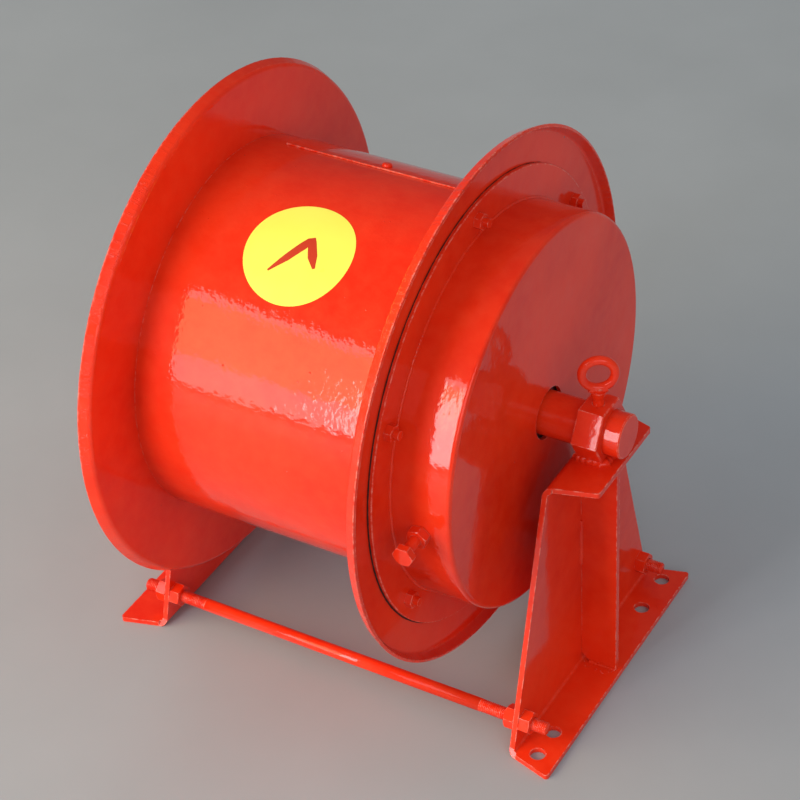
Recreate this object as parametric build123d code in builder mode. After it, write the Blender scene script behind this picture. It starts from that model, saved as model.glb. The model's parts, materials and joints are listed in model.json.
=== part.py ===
"""Spring-driven cable reel on two bent-plate brackets. The drum turns on a fixed hollow shaft."""
import math
import os
from build123d import *

# Sizes in millimetres. X runs along the shaft, Z is up and the feet stand on Z = 0.

# Brackets: one bent plate each, foot and ledge both turned outwards, tapered along the blank
floor_clearance = 36.0
lip_to_bracket = 18.1
box_to_bracket = 26.3
bracket_sheet = 5.0
foot_depth = 44.0
ledge_depth = 46.0
bend_inner_r = 2.5
blank_half_width = 149.0
blank_taper = 0.29
foot_corner_r = 3.0
foot_hole_r = 7.0
foot_hole_inset = 19.5
outer_hole_inset = 21.0
front_hole_inset = 51.0
back_hole_inset = 65.0

# Gussets: an upright rib welded in the middle of each bracket
gusset_depth = 34.5
gusset_clip = 8.0

# Shaft blocks: hexagon bar with one flat on the ledge
block_wall = 6.0
block_length = 24.0
block_setback = 8.5
block_chamfer = 0.8

# Eye bolts that lock the shaft in its blocks
eye_wire_r = 4.0
eye_ring_r = 14.0
eye_neck = 13.0
eye_shank_r = 5.0
eye_turn = 32.0
eye_point_depth = 2.5

# Tie rods between the brackets
tie_rod_r = 6.0
tie_rod_edge = 10.4
tie_rod_z = 28.3
tie_rod_overhang = 14.5
tie_nut_flats = 19.0
tie_nut_height = 10.0
tie_nut_turns = {1: 10.0, -1: 22.0}

# Shaft
shaft_r = 20.0
shaft_overhang = 16.0
shaft_bore_r = 10.0
shaft_chamfer = 1.2
inlet_bore_r = 8.0
inlet_bush_length = 12.0
lead_slot_width = 10.0
lead_slot_length = 40.0

# Drum
barrel_r = 172.7
barrel_wall = 3.0
winding_width = 246.4
winding_depth = 67.3
lip_rise = 5.0
lip_depth = 10.3
flange_sheet = 3.0
crease_inner_r = 2.0
rim_round = 0.6

# Access cover over the window in the barrel
cover_start = 17.0
cover_end = 72.8
cover_sheet = 1.5
cover_left_margin = 27.0
cover_lap = 11.0
cover_screw_inset = 2.8
cover_screw_offset = -12.5
cover_screw_r = 2.5
cover_screw_head_r = 4.6
cover_screw_head = 3.2
pan_round = 0.7

# Bush for the reel's own cable, on the side of the barrel that lies to the back
bush_angle = -50.0
bush_from_flange = 34.0
bush_bore_r = 9.0
bush_wall = 3.0
bush_rim = 4.0
bush_lip = 1.8
bush_recess = 1.0

# Spring box
plate_sheet = 4.0
plate_chamfer = 0.5
plate_edge = 15.0
plate_bolt_offset = 17.3
plate_bolt_first = 34.6
plate_bolt_count = 6
plate_bolt_tail = 5.0
plate_nut_turn_step = 17.0
box_inset = 14.7
box_wall = 3.0
box_end_wall = 4.0
box_edge_r = 4.0
box_hole_gap = 4.0

# Flat spiral spring and what holds its two ends
spring_width = 40.0
spring_setback = 7.0
spring_strip = 1.5
spring_turns = 8
spring_play = 3.3
spring_lift = 2.0
spring_end_gap = 3.9
arbor_wall = 14.0
arbor_margin = 1.0
spacer_wall = 6.0
arbor_slot = 4.0
hook_depth = 5.0
anchor_angle = 184.0
anchor_tail = 8.0
anchor_bolt_r = 5.0
anchor_bolt_tail = 4.0
anchor_nut_turn = 15.0
anchor_standout = 30.5

# Keyed joint between arbor and shaft
key_width = 12.0
key_height = 8.0
key_length = 34.0
key_depth = 5.0

# Deep-groove ball bearings, 40 x 80 x 18
bearing_section = 20.0
bearing_width = 18.0
race_section = 7.0
ball_r = 5.8
ball_gap = 0.2
ball_count = 9
cage_rim = 1.2
cage_wall = 2.4

# Hubs that carry the bearings
hub_wall = 10.0
hub_shoulder = 4.0
hub_lead = 4.0
hub_hole_gap = 2.0
hub_flange = 6.0
hub_bolt_offset = 9.0
hub_bolt_edge = 9.0
hub_bolt_count = 6
hub_bolt_tail = 3.0
hub_bolt_turn_step = 12.0
hub_nut_turn = 90.0
spigot_gap = 4.0
cap_disc = 5.0
seal_section = 4.0
seal_recess = 0.5

# Circlips
circlip = 1.75
circlip_depth = 1.25
circlip_height = 3.6
circlip_rise = 1.0
circlip_gap = 8.0
circlip_turn = 90.0

# Slip rings and brush gear
ring_count = 4
sleeve_wall = 6.0
slip_ring_section = 10.0
slip_ring_width = 12.0
ring_spacer_rise = 6.0
ring_spacer = 5.0
ring_stack_gap = 27.1
collar_section = 14.0
collar_width = 12.0
post_r = 6.0
post_y = 24.0
post_rise = 5.5
post_nut_turn = 5.0
post_sleeve_wall = 3.0
brush_width = 9.0
brush_depth = 14.0
brush_length = 20.0
holder_wall = 1.6
holder_clearance = 1.5
holder_height = 23.0
holder_lug_wall = 3.0
finger_sheet = 0.8
finger_width = 6.0
finger_toe = 1.0
finger_bend = 0.5

# Metric fasteners
m8_r = 4.0
m8_flats = 13.0
m8_nut = 6.5
m8_head = 5.3
m8_cup_r = 8.5
m8_cup = 3.4
m10_flats = 17.0
m10_nut = 8.0
m10_head = 6.4

# Fits
seat_gap = 0.05
thread_gap = 0.1
bolt_gap = 0.5
running_gap = 0.3

# Places worked out from the sizes above: along the shaft, from the left bracket to the right one
box_depth = spring_setback + spring_width + spring_end_gap + box_end_wall
box_stack = flange_sheet + plate_sheet + box_depth
upright_x = (lip_to_bracket + lip_depth + winding_width + box_stack + box_to_bracket) / 2
left_face = lip_to_bracket + lip_depth - upright_x
right_face = left_face + winding_width

# Radii about the shaft
flange_r = barrel_r + winding_depth
crease_r = flange_r - lip_rise
plate_bolt_circle_r = barrel_r + plate_bolt_offset
plate_r = plate_bolt_circle_r + plate_edge
box_r = plate_bolt_circle_r - box_inset
box_hole_r = shaft_r + box_hole_gap
arbor_r = shaft_r + arbor_wall
bearing_r = shaft_r + bearing_section
pitch_r = shaft_r + bearing_section / 2
race_inner_r = shaft_r + race_section
race_outer_r = bearing_r - race_section
groove_r = ball_r + ball_gap
hub_r = bearing_r + hub_wall
hub_bolt_circle_r = hub_r + hub_bolt_offset
hub_flange_r = hub_bolt_circle_r + hub_bolt_edge
cap_bore_r = shaft_r + seal_section
sleeve_r = shaft_r + sleeve_wall
slip_ring_r = sleeve_r + slip_ring_section
ring_spacer_r = slip_ring_r + ring_spacer_rise
collar_r = shaft_r + collar_section
holder_low = ring_spacer_r + holder_clearance
holder_top = holder_low + holder_height
post_height = holder_top + post_rise

# The rest of the places
axis_height = flange_r + floor_clearance
block_flats = 2 * (shaft_r + block_wall)
ledge_top = axis_height - block_flats / 2
upright_outer = upright_x + bracket_sheet
foot_edge = upright_x + foot_depth
ledge_edge = upright_x + ledge_depth
bend_outer_r = bend_inner_r + bracket_sheet
block_start = upright_x + block_setback
block_end = block_start + block_length
block_mid = (block_start + block_end) / 2
shaft_end = block_end + shaft_overhang
tie_rod_y = blank_half_width - blank_taper * (foot_depth + tie_rod_z) - tie_rod_edge
right_outer = right_face + flange_sheet
left_outer = left_face - flange_sheet
plate_outer = right_outer + plate_sheet
box_end = plate_outer + box_depth
box_inner = box_end - box_end_wall
left_seat = left_face + hub_lead
left_seat_end = left_seat + bearing_width
left_hub_end = left_seat_end + hub_shoulder
ring_stack_left = left_hub_end + ring_stack_gap
right_seat_end = right_outer - hub_shoulder
right_seat = right_seat_end - bearing_width
strip_start = plate_outer + spring_setback
strip_mid = strip_start + spring_width / 2
strip_end = strip_start + spring_width
arbor_start = strip_start - arbor_margin
arbor_end = strip_end + arbor_margin

shaft_axis = Axis((0, 0, axis_height), (1, 0, 0))
os.makedirs("parts", exist_ok=True)


def save(piece, name):
    """Label a finished piece and write it to its own file."""
    piece.part.label = name
    export_step(piece.part, f"parts/{name}.step")


def radial_plane(angle):
    """The plane through the shaft's axis at an angle from the back: (x, radius)."""
    a = math.radians(angle)
    return Plane((0, 0, axis_height), x_dir=(1, 0, 0), z_dir=(0, -math.sin(a), math.cos(a)))


def cross_plane(x):
    """The plane across the shaft at x, centred on the axis: (y, height above the axis)."""
    return Plane((x, 0, axis_height), x_dir=(0, 1, 0), z_dir=(1, 0, 0))


def spoke_plane(angle, x, radius):
    """The plane that faces outwards at a radius of the drum, centred at x."""
    a = math.radians(angle)
    y, z = radius * math.cos(a), axis_height + radius * math.sin(a)
    return Plane((x, y, z), x_dir=(1, 0, 0), z_dir=(0, math.cos(a), math.sin(a)))


def turned(outline):
    """A body turned about the shaft's axis from its (x, radius) outline."""
    with BuildPart() as body:
        with BuildSketch(radial_plane(90)):
            with BuildLine():
                Polyline(*outline, close=True)
            make_face()
        revolve(axis=shaft_axis)
    return body


def ring(x0, x1, r_in, r_out):
    """A plain turned ring between two places on the shaft."""
    return turned([(x0, r_in), (x1, r_in), (x1, r_out), (x0, r_out)])


def half_width(run):
    """Half the width of the bracket's tapered blank, this far along it from the foot's edge."""
    return blank_half_width - blank_taper * run


# Brackets. The flat outlines of foot, upright and ledge trim one bent channel section.
def bracket(side, holes):
    run_top = foot_depth + ledge_top
    bend_run = foot_depth - bend_outer_r
    with BuildPart() as blank:
        with BuildSketch(Plane.XY):
            with BuildLine():
                w0, w1 = half_width(0), half_width(bend_run)
                x0, x1 = side * foot_edge, side * (upright_x + bend_outer_r)
                Polyline((x0, -w0), (x0, w0), (x1, w1), (x1, -w1), close=True)
            make_face()
        extrude(amount=bracket_sheet)
        with BuildSketch(Plane.XY.offset(ledge_top - bracket_sheet)):
            with BuildLine():
                w2, w3 = half_width(run_top + bend_outer_r), half_width(run_top + ledge_depth)
                x3 = side * ledge_edge
                Polyline((x1, -w2), (x1, w2), (x3, w3), (x3, -w3), close=True)
            make_face()
        extrude(amount=bracket_sheet)
        with BuildSketch(Plane.YZ.offset(side * upright_x)):
            with BuildLine():
                low, high = half_width(foot_depth + bend_outer_r), half_width(run_top - bend_outer_r)
                Polyline(
                    (-w1, 0), (w1, 0), (low, bend_outer_r), (high, ledge_top - bend_outer_r),
                    (w2, ledge_top), (-w2, ledge_top), (-high, ledge_top - bend_outer_r),
                    (-low, bend_outer_r), close=True,
                )
            make_face()
        extrude(amount=side * bend_outer_r)
    with BuildPart() as plate:
        with BuildSketch(Plane.XZ):
            with BuildLine():
                x_in, x_out = side * upright_x, side * upright_outer
                Polyline(
                    (side * foot_edge, 0), (x_in, 0), (x_in, ledge_top), (side * ledge_edge, ledge_top),
                    (side * ledge_edge, ledge_top - bracket_sheet), (x_out, ledge_top - bracket_sheet),
                    (x_out, bracket_sheet), (side * foot_edge, bracket_sheet), close=True,
                )
            make_face()
            fillet([v for v in vertices() if abs(v.X - x_in) < 0.01], bend_outer_r)
            fillet([v for v in vertices() if abs(v.X - x_out) < 0.01], bend_inner_r)
        extrude(amount=blank_half_width, both=True)
        add(blank.part, mode=Mode.INTERSECT)
        for edge_x in (side * foot_edge, side * ledge_edge):
            corners = edges().filter_by(Axis.Z).filter_by_position(Axis.X, edge_x - 0.01, edge_x + 0.01)
            fillet(corners, foot_corner_r)
        with BuildSketch(Plane.XY):
            with Locations(*[(side * (foot_edge - foot_hole_inset), y) for y in holes]):
                Circle(foot_hole_r)
        extrude(amount=bracket_sheet, mode=Mode.SUBTRACT)
        with BuildSketch(Plane.YZ.offset(x_in)):
            with Locations((-tie_rod_y, tie_rod_z), (tie_rod_y, tie_rod_z)):
                Circle(tie_rod_r + bolt_gap)
        extrude(amount=side * bracket_sheet, mode=Mode.SUBTRACT)
    return plate


def gusset(side):
    x_in, x_out = side * upright_outer, side * (upright_outer + gusset_depth)
    x_clip = side * (upright_outer + gusset_clip)
    top = ledge_top - bracket_sheet
    with BuildPart() as rib:
        with BuildSketch(Plane.XZ):
            with BuildLine():
                Polyline(
                    (x_in, bracket_sheet + gusset_clip), (x_clip, bracket_sheet), (x_out, bracket_sheet),
                    (x_out, top), (x_clip, top), (x_in, top - gusset_clip), close=True,
                )
            make_face()
        extrude(amount=bracket_sheet / 2, both=True)
    return rib


# Shaft block: hexagon bar, bored for the shaft and drilled from above for the eye bolt
def shaft_block(side):
    x_in, x_out = sorted((side * block_start, side * block_end))
    with BuildPart() as block:
        with BuildSketch(cross_plane(x_in)):
            RegularPolygon(block_flats / 2, 6, major_radius=False)
            Circle(shaft_r + seat_gap, mode=Mode.SUBTRACT)
        extrude(amount=x_out - x_in)
        rims = edges().filter_by(GeomType.LINE).filter_by(lambda e: abs(e.tangent_at(0.5).X) < 0.01)
        chamfer(rims, block_chamfer)
        with BuildSketch(Plane.XY.offset(axis_height + block_flats / 2)):
            with Locations((side * block_mid, 0)):
                Circle(eye_shank_r + thread_gap)
        extrude(amount=-(block_flats / 2 - shaft_r) - eye_shank_r, mode=Mode.SUBTRACT)
    return block


# Eye bolt: a ring of round bar on a threaded shank whose point sits in the shaft
def eye_bolt(side):
    ring_height = axis_height + block_flats / 2 + eye_neck + eye_wire_r + eye_ring_r
    point_height = axis_height + shaft_r - eye_point_depth + thread_gap
    turn = math.radians(eye_turn)
    ring_plane = Plane((side * block_mid, 0, ring_height), x_dir=(math.cos(turn), math.sin(turn), 0),
                       z_dir=(math.sin(turn), -math.cos(turn), 0))
    with BuildPart() as bolt:
        with Locations(ring_plane):
            Torus(eye_ring_r, eye_wire_r)
        with BuildSketch(Plane.XY.offset(point_height)):
            with Locations((side * block_mid, 0)):
                Circle(eye_shank_r)
        extrude(amount=ring_height - eye_ring_r - point_height)
    return bolt


inner_holes = (front_hole_inset - blank_half_width, blank_half_width - back_hole_inset)
outer_holes = (outer_hole_inset - blank_half_width, blank_half_width - outer_hole_inset)
for side, name, holes in ((-1, "left", inner_holes), (1, "right", inner_holes + outer_holes)):
    save(bracket(side, holes), f"{name}_bracket")
    save(gusset(side), f"{name}_gusset")
    save(shaft_block(side), f"{name}_shaft_block")
    save(eye_bolt(side), f"{name}_eye_bolt")


def hexagon(plane, turn, flats, height, hole_r=0.0):
    """A nut or bolt head that stands on a plane, with the corners of its outer face turned off."""
    corner_r = flats / math.sqrt(3)
    rim = corner_r - flats / 2
    with BuildPart() as turned_bar:
        with BuildSketch(plane):
            Circle(corner_r + thread_gap)
        extrude(amount=height)
        outer_face = faces().sort_by(Axis(plane.origin, plane.z_dir))[-1]
        chamfer(outer_face.edges(), rim / 2, rim)
    with BuildPart() as nut:
        with BuildSketch(plane):
            RegularPolygon(flats / 2, 6, major_radius=False, rotation=turn)
            if hole_r:
                Circle(hole_r, mode=Mode.SUBTRACT)
        extrude(amount=height)
        add(turned_bar.part, mode=Mode.INTERSECT)
    return nut


def rod(plane, length, radius):
    """A round bar that stands on a plane."""
    with BuildPart() as bar:
        with BuildSketch(plane):
            Circle(radius)
        extrude(amount=length)
    return bar


def group(pieces):
    """Like pieces kept together as separate solids."""
    with BuildPart() as together:
        for piece in pieces:
            add(piece.part)
    return together


# Tie rods, with a nut on each side of each upright
rod_tip = upright_outer + tie_nut_height + tie_rod_overhang
tie_nuts = []
for sign, name in ((-1, "front"), (1, "rear")):
    y = sign * tie_rod_y
    with BuildPart() as tie_rod:
        with BuildSketch(Plane((-rod_tip, y, tie_rod_z), x_dir=(0, 1, 0), z_dir=(1, 0, 0))):
            Circle(tie_rod_r)
        extrude(amount=2 * rod_tip)
        chamfer(edges().filter_by(GeomType.CIRCLE), shaft_chamfer)
    save(tie_rod, f"{name}_tie_rod")
    for x, facing in ((upright_outer, 1), (upright_x, -1), (-upright_outer, -1), (-upright_x, 1)):
        seat = Plane((x, y, tie_rod_z), x_dir=(0, 1, 0), z_dir=(facing, 0, 0))
        turn = tie_nut_turns[facing]
        tie_nuts.append(hexagon(seat, turn, tie_nut_flats, tie_nut_height, tie_rod_r + thread_gap))
save(group(tie_nuts), "tie_rod_nuts")

# Shaft: bored from the left end for the supply leads, which come out of a slot inside the slip rings
key_start = strip_mid - key_length / 2
lead_slot_x = ring_stack_left + ring_spacer + ring_count * (ring_spacer + slip_ring_width) / 2
circlip_places = [left_seat - circlip - thread_gap, left_seat_end + thread_gap,
                  right_seat - circlip - thread_gap, arbor_end + thread_gap]
with BuildPart() as shaft:
    with BuildSketch(cross_plane(-shaft_end)):
        Circle(shaft_r)
    extrude(amount=2 * shaft_end)
    chamfer(edges().filter_by(GeomType.CIRCLE), shaft_chamfer)
    with BuildSketch(cross_plane(-shaft_end)):
        Circle(shaft_bore_r)
    extrude(amount=shaft_end + lead_slot_x + lead_slot_length / 2 + shaft_bore_r, mode=Mode.SUBTRACT)
    with BuildSketch(cross_plane(-shaft_end)):
        Circle(shaft_bore_r + bush_rim)
    extrude(amount=bush_wall, mode=Mode.SUBTRACT)
    with BuildSketch(spoke_plane(-90, lead_slot_x, 0)):
        SlotOverall(lead_slot_length, lead_slot_width)
    extrude(amount=shaft_r, mode=Mode.SUBTRACT)
    with BuildSketch(spoke_plane(90, strip_mid, shaft_r)):
        Rectangle(key_length + 2 * thread_gap, key_width + 2 * thread_gap)
    extrude(amount=-key_depth, mode=Mode.SUBTRACT)
    for x in circlip_places:
        with BuildSketch(cross_plane(x - seat_gap)):
            Circle(shaft_r)
            Circle(shaft_r - circlip_depth, mode=Mode.SUBTRACT)
        extrude(amount=circlip + 2 * seat_gap, mode=Mode.SUBTRACT)
    for side in (-1, 1):
        with BuildSketch(Plane.XY.offset(axis_height + shaft_r)):
            with Locations((side * block_mid, 0)):
                Circle(eye_shank_r + thread_gap)
        extrude(amount=-eye_point_depth, mode=Mode.SUBTRACT)
save(shaft, "shaft")

# Bush that guards the supply leads where they enter the shaft
bush_start, bush_shoulder, bush_end = -shaft_end, -shaft_end + bush_wall, -shaft_end + inlet_bush_length
bush_out, bush_rim_out = shaft_bore_r - seat_gap, shaft_bore_r + bush_rim - seat_gap
inlet_bush = turned([
    (bush_start, inlet_bore_r), (bush_end, inlet_bore_r), (bush_end, bush_out), (bush_shoulder, bush_out),
    (bush_shoulder, bush_rim_out), (bush_start, bush_rim_out),
])
save(inlet_bush, "inlet_bush")


def open_ring(x, r_in, r_out, gap_angle):
    """A circlip: a flat ring with a gap in it."""
    with BuildPart() as clip:
        with BuildSketch(cross_plane(x)):
            Circle(r_out)
            Circle(r_in, mode=Mode.SUBTRACT)
            with Locations(Location((0, 0), gap_angle)):
                with Locations((r_out, 0)):
                    Rectangle(2 * r_out, circlip_gap, mode=Mode.SUBTRACT)
        extrude(amount=circlip)
    return clip


clip_in = shaft_r - circlip_depth + seat_gap
clip_out = shaft_r - circlip_depth + circlip_height + circlip_rise
save(group([open_ring(x, clip_in, clip_out, circlip_turn) for x in circlip_places]), "shaft_circlips")

# Drum flanges: pressed discs whose rims are bent outwards
bend = math.atan2(flange_r - crease_r, lip_depth)
lip_in = (flange_sheet * math.sin(bend), flange_sheet * math.cos(bend))
crease_back_r = flange_r - lip_in[1] - (lip_depth + lip_in[0] - flange_sheet) * math.tan(bend)


def flange(face, side, hole_r, bolt_circle_r, count, first, post_places):
    lip_x = face + side * lip_depth
    with BuildPart() as disc:
        with BuildSketch(radial_plane(90)):
            with BuildLine():
                Polyline(
                    (face, hole_r), (face, crease_r), (lip_x, flange_r),
                    (lip_x + side * lip_in[0], flange_r - lip_in[1]),
                    (face + side * flange_sheet, crease_back_r), (face + side * flange_sheet, hole_r),
                    close=True,
                )
            make_face()
            crease, crease_back = (face, crease_r), (face + side * flange_sheet, crease_back_r)
            fillet(vertices().sort_by_distance(crease)[0], crease_inner_r + flange_sheet)
            fillet(vertices().sort_by_distance(crease_back)[0], crease_inner_r)
            fillet(vertices().sort_by(Axis.Y)[-2:], rim_round)
        revolve(axis=shaft_axis)
        with BuildSketch(cross_plane(face)):
            with PolarLocations(bolt_circle_r, count, start_angle=first):
                Circle(m8_r + bolt_gap)
            with Locations(*post_places):
                Circle(m8_r + bolt_gap)
        extrude(amount=side * flange_sheet, mode=Mode.SUBTRACT)
    return disc


left_flange = flange(left_face, -1, bearing_r + spigot_gap, hub_bolt_circle_r, hub_bolt_count, 0,
                     [(post_y, post_height)])
save(left_flange, "left_flange")
right_flange = flange(right_face, 1, hub_r + hub_hole_gap, plate_bolt_circle_r, plate_bolt_count,
                      plate_bolt_first, [])
save(right_flange, "right_flange")

# Barrel with the window for the slip rings and the hole for the reel's cable
cover_left = left_face + cover_left_margin
cover_right = right_face - running_gap
cover_mid = (cover_start + cover_end) / 2
lap_angle = math.degrees(cover_lap / barrel_r)
screw_angles = [cover_start + cover_screw_inset, cover_end - cover_screw_inset]
screw_x = (cover_left + cover_right) / 2 + cover_screw_offset
bush_x = left_face + bush_from_flange
with BuildPart() as window:
    with BuildSketch(radial_plane(cover_start + lap_angle)):
        with BuildLine():
            w0, w1 = cover_left + cover_lap, cover_right - cover_lap
            r0, r1 = barrel_r - 3 * barrel_wall, barrel_r + 2 * barrel_wall
            Polyline((w0, r0), (w1, r0), (w1, r1), (w0, r1), close=True)
        make_face()
    revolve(axis=shaft_axis, revolution_arc=cover_end - cover_start - 2 * lap_angle)
with BuildPart() as barrel:
    with BuildSketch(cross_plane(left_face)):
        Circle(barrel_r)
        Circle(barrel_r - barrel_wall, mode=Mode.SUBTRACT)
    extrude(amount=winding_width)
    add(window.part, mode=Mode.SUBTRACT)
    for angle in screw_angles:
        with BuildSketch(spoke_plane(angle, screw_x, barrel_r + barrel_wall)):
            Circle(cover_screw_r + thread_gap)
        extrude(amount=-3 * barrel_wall, mode=Mode.SUBTRACT)
    with BuildSketch(spoke_plane(bush_angle, bush_x, barrel_r + barrel_wall)):
        Circle(bush_bore_r + bush_wall + thread_gap)
    extrude(amount=-3 * barrel_wall, mode=Mode.SUBTRACT)
save(barrel, "barrel")

# Access cover: a sheet rolled to the barrel and screwed down along both long edges
with BuildPart() as cover:
    with BuildSketch(radial_plane(cover_start)):
        with BuildLine():
            r0, r1 = barrel_r + thread_gap, barrel_r + thread_gap + cover_sheet
            Polyline((cover_left, r0), (cover_right, r0), (cover_right, r1), (cover_left, r1), close=True)
        make_face()
    revolve(axis=shaft_axis, revolution_arc=cover_end - cover_start)
    for angle in screw_angles:
        with BuildSketch(spoke_plane(angle, screw_x, barrel_r + barrel_wall)):
            Circle(cover_screw_r + thread_gap)
        extrude(amount=-2 * barrel_wall, mode=Mode.SUBTRACT)
save(cover, "access_cover")


def cover_screw(angle):
    seat = spoke_plane(angle, screw_x, barrel_r + thread_gap + cover_sheet)
    with BuildPart() as screw:
        with BuildSketch(seat):
            Circle(cover_screw_head_r)
        extrude(amount=cover_screw_head)
        top = faces().sort_by(Axis(seat.origin, seat.z_dir))[-1]
        fillet(top.edges(), cover_screw_head * pan_round)
        with BuildSketch(seat):
            Circle(cover_screw_r)
        extrude(amount=-3 * barrel_wall)
    return screw


save(group([cover_screw(angle) for angle in screw_angles]), "cover_screws")

# Bush that guards the reel's cable where it leaves the barrel
with BuildPart() as cable_bush:
    inside = spoke_plane(bush_angle, bush_x, barrel_r - barrel_wall - bush_wall - bush_recess)
    with BuildSketch(inside):
        Circle(bush_bore_r + bush_wall)
    extrude(amount=2 * bush_wall + barrel_wall + bush_recess + bush_lip - running_gap)
    with BuildSketch(inside):
        Circle(bush_bore_r + bush_wall + bush_rim)
    extrude(amount=bush_wall)
    with BuildSketch(spoke_plane(bush_angle, bush_x, barrel_r + running_gap)):
        Circle(bush_bore_r + bush_wall + bush_rim)
    extrude(amount=bush_wall - running_gap)
    with BuildSketch(inside):
        Circle(bush_bore_r)
    extrude(amount=barrel_r, mode=Mode.SUBTRACT)
save(cable_bush, "cable_bush")

# Hubs and the cap of the left one
with BuildPart() as left_hub:
    with BuildSketch(radial_plane(90)):
        with BuildLine():
            Polyline(
                (left_face, bearing_r + seat_gap), (left_seat_end, bearing_r + seat_gap),
                (left_seat_end, bearing_r - hub_shoulder), (left_hub_end, bearing_r - hub_shoulder),
                (left_hub_end, hub_r), (left_face + hub_flange, hub_r),
                (left_face + hub_flange, hub_flange_r), (left_face, hub_flange_r), close=True,
            )
        make_face()
    revolve(axis=shaft_axis)
    with BuildSketch(cross_plane(left_face)):
        with PolarLocations(hub_bolt_circle_r, hub_bolt_count):
            Circle(m8_r + bolt_gap)
    extrude(amount=hub_flange, mode=Mode.SUBTRACT)
save(left_hub, "left_hub")

cap_outer = left_outer - cap_disc
spigot_end = left_seat - thread_gap
with BuildPart() as cap:
    with BuildSketch(radial_plane(90)):
        with BuildLine():
            Polyline(
                (cap_outer, cap_bore_r), (left_outer, cap_bore_r), (left_outer, bearing_r - hub_shoulder),
                (spigot_end, bearing_r - hub_shoulder), (spigot_end, bearing_r - seat_gap),
                (left_outer, bearing_r - seat_gap), (left_outer, hub_flange_r),
                (cap_outer, hub_flange_r), close=True,
            )
        make_face()
    revolve(axis=shaft_axis)
    with BuildSketch(cross_plane(cap_outer)):
        with PolarLocations(hub_bolt_circle_r, hub_bolt_count):
            Circle(m8_r + bolt_gap)
    extrude(amount=cap_disc, mode=Mode.SUBTRACT)
save(cap, "bearing_cap")
save(ring(cap_outer + seal_recess, left_outer, shaft_r + running_gap, cap_bore_r - seat_gap), "shaft_seal")

clip_start = right_seat - circlip - thread_gap
groove_start, groove_end = clip_start - seat_gap, right_seat - thread_gap + seat_gap
seat_r, shoulder_r, bottom_r = bearing_r + seat_gap, bearing_r - hub_shoulder, bearing_r + circlip_depth
right_hub_start = clip_start - hub_lead
right_hub = turned([
    (right_hub_start, seat_r), (groove_start, seat_r), (groove_start, bottom_r), (groove_end, bottom_r),
    (groove_end, seat_r), (right_seat_end, seat_r), (right_seat_end, shoulder_r), (right_outer, shoulder_r),
    (right_outer, hub_r), (right_hub_start, hub_r),
])
save(right_hub, "right_hub")
clip_in, clip_out = bearing_r - circlip_height, bearing_r + circlip_depth - seat_gap
save(open_ring(clip_start, clip_in, clip_out, circlip_turn), "hub_circlip")

# Bolts through cap, flange and hub, with their nuts inside the barrel
hub_bolts, hub_nuts = [], []
for index in range(hub_bolt_count):
    a = math.radians(index * 360 / hub_bolt_count)
    y, z = hub_bolt_circle_r * math.cos(a), axis_height + hub_bolt_circle_r * math.sin(a)
    outwards = Plane((cap_outer, y, z), x_dir=(0, 1, 0), z_dir=(-1, 0, 0))
    inwards = Plane((left_face + hub_flange, y, z), x_dir=(0, 1, 0), z_dir=(1, 0, 0))
    with BuildPart() as hub_bolt:
        add(hexagon(outwards, index * hub_bolt_turn_step, m8_flats, m8_head).part)
        add(rod(outwards, -(left_face + hub_flange - cap_outer + m8_nut + hub_bolt_tail), m8_r).part)
    hub_bolts.append(hub_bolt)
    hub_nuts.append(hexagon(inwards, hub_nut_turn, m8_flats, m8_nut, m8_r + thread_gap))
save(group(hub_bolts), "hub_bolts")
save(group(hub_nuts), "hub_nuts")


# Bearings: two races with a groove for the balls, and a cage that keeps the balls apart
def race(x_mid, r_in, r_out):
    with BuildPart() as body:
        with BuildSketch(radial_plane(90)):
            with Locations((x_mid, (r_in + r_out) / 2)):
                Rectangle(bearing_width, r_out - r_in)
            with Locations((x_mid, pitch_r)):
                Circle(groove_r, mode=Mode.SUBTRACT)
        revolve(axis=shaft_axis)
    return body


def balls(x_mid):
    with BuildPart() as set_of_balls:
        with Locations(cross_plane(x_mid)):
            with PolarLocations(pitch_r, ball_count):
                Sphere(ball_r)
    return set_of_balls


def cage(x_mid):
    with BuildPart() as body:
        with BuildSketch(cross_plane(x_mid)):
            Circle(pitch_r + cage_wall / 2)
            Circle(pitch_r - cage_wall / 2, mode=Mode.SUBTRACT)
        extrude(amount=groove_r + cage_rim, both=True)
        with Locations(cross_plane(x_mid)):
            with PolarLocations(pitch_r, ball_count):
                Cylinder(groove_r, 4 * cage_wall, rotation=(0, 90, 0), mode=Mode.SUBTRACT)
    return body


for name, x_mid in (("left", left_seat + bearing_width / 2), ("right", right_seat + bearing_width / 2)):
    save(race(x_mid, shaft_r + seat_gap, race_inner_r), f"{name}_bearing_inner_race")
    save(race(x_mid, race_outer_r, bearing_r), f"{name}_bearing_outer_race")
    save(balls(x_mid), f"{name}_bearing_balls")
    save(cage(x_mid), f"{name}_bearing_cage")

# Spring box: back plate bolted to the right flange, and a welded round housing
with BuildPart() as plate:
    with BuildSketch(cross_plane(right_outer)):
        Circle(plate_r)
        Circle(bearing_r - hub_shoulder, mode=Mode.SUBTRACT)
        with PolarLocations(plate_bolt_circle_r, plate_bolt_count, start_angle=plate_bolt_first):
            Circle(m8_r + bolt_gap, mode=Mode.SUBTRACT)
    extrude(amount=plate_sheet)
    outer_rim = edges().filter_by(GeomType.CIRCLE).sort_by(SortBy.RADIUS)[-2:]
    chamfer(outer_rim, plate_chamfer)
save(plate, "spring_plate")

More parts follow.
